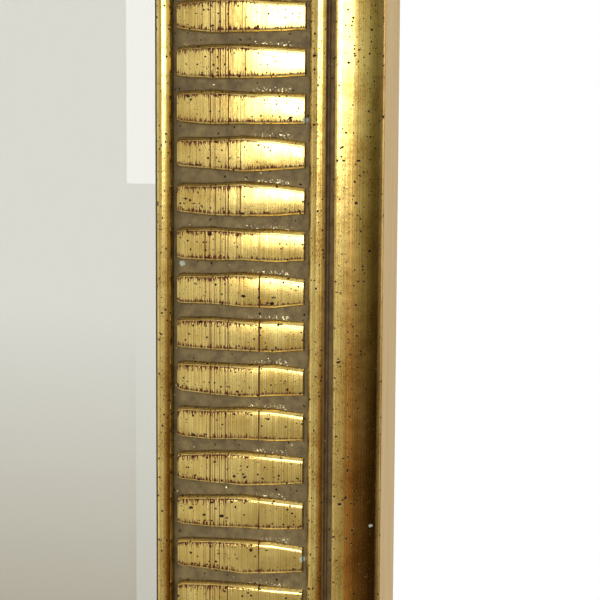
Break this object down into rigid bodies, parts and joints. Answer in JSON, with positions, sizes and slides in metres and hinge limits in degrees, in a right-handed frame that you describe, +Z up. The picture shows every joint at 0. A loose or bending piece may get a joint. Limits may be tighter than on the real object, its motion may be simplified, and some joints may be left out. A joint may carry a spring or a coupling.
{
  "type": "framed wall mirror",
  "caption": "Upright wall mirror: a bevel-edged glass in a mitred gilt wooden frame with a ladder of raised bars between two beads and a rounded outer roll.",
  "frame": {"origin": "middle of the mirror, on the surface of the wall that its bumpers touch", "axes": "+Z up, +X to the right as seen from the front, -Y out of the front of the glass"},
  "size_m": [0.6248, 0.0368, 0.8248],
  "materials": {
    "gilt_wood": "gold leaf over red bole on the front, bare wood behind",
    "gilt_composition": "gold leaf over red bole, grey-brown wash between the bars",
    "clear_glass": "polished, ground bevel",
    "silver_coat": "mirror",
    "grey_card": "matt",
    "hardboard": "smooth pressed fibre",
    "block_rubber": "matt",
    "zinc_steel": "bright zinc plate",
    "bumper_rubber": "matt"
  },
  "bodies": {
    "mirror": {"top_rail": "gilt_wood", "bottom_rail": "gilt_wood", "left_stile": "gilt_wood", "right_stile": "gilt_wood", "top_ornament_strip": "gilt_composition", "right_ornament_strip": "gilt_composition", "bottom_ornament_strip": "gilt_composition", "left_ornament_strip": "gilt_composition", "mirror_glass": "clear_glass", "silvering": "silver_coat", "packing_card": "grey_card", "backing_board": "hardboard", "top_setting_blocks": "block_rubber", "right_setting_blocks": "block_rubber", "bottom_setting_blocks": "block_rubber", "left_setting_blocks": "block_rubber", "top_glazing_points": "zinc_steel", "right_glazing_points": "zinc_steel", "bottom_glazing_points": "zinc_steel", "left_glazing_points": "zinc_steel", "top_left_corner_wedges": "zinc_steel", "top_right_corner_wedges": "zinc_steel", "bottom_left_corner_wedges": "zinc_steel", "bottom_right_corner_wedges": "zinc_steel", "hanger_straps": "zinc_steel", "hanger_screws": "zinc_steel", "wall_bumpers": "bumper_rubber"},
    "left_ring": {"left_hanger_ring": "zinc_steel"},
    "right_ring": {"right_hanger_ring": "zinc_steel"}
  },
  "joints": [
    {"name": "left_ring_swing", "type": "hinge", "parent": "mirror", "child": "left_ring", "pos_m": [-0.256, -0.00265, 0.16242], "axis": [0, 0, 1], "range_deg": [-8, 170]},
    {"name": "right_ring_swing", "type": "hinge", "parent": "mirror", "child": "right_ring", "pos_m": [0.256, -0.00265, 0.16242], "axis": [0, 0, -1], "range_deg": [-8, 170]}
  ]
}
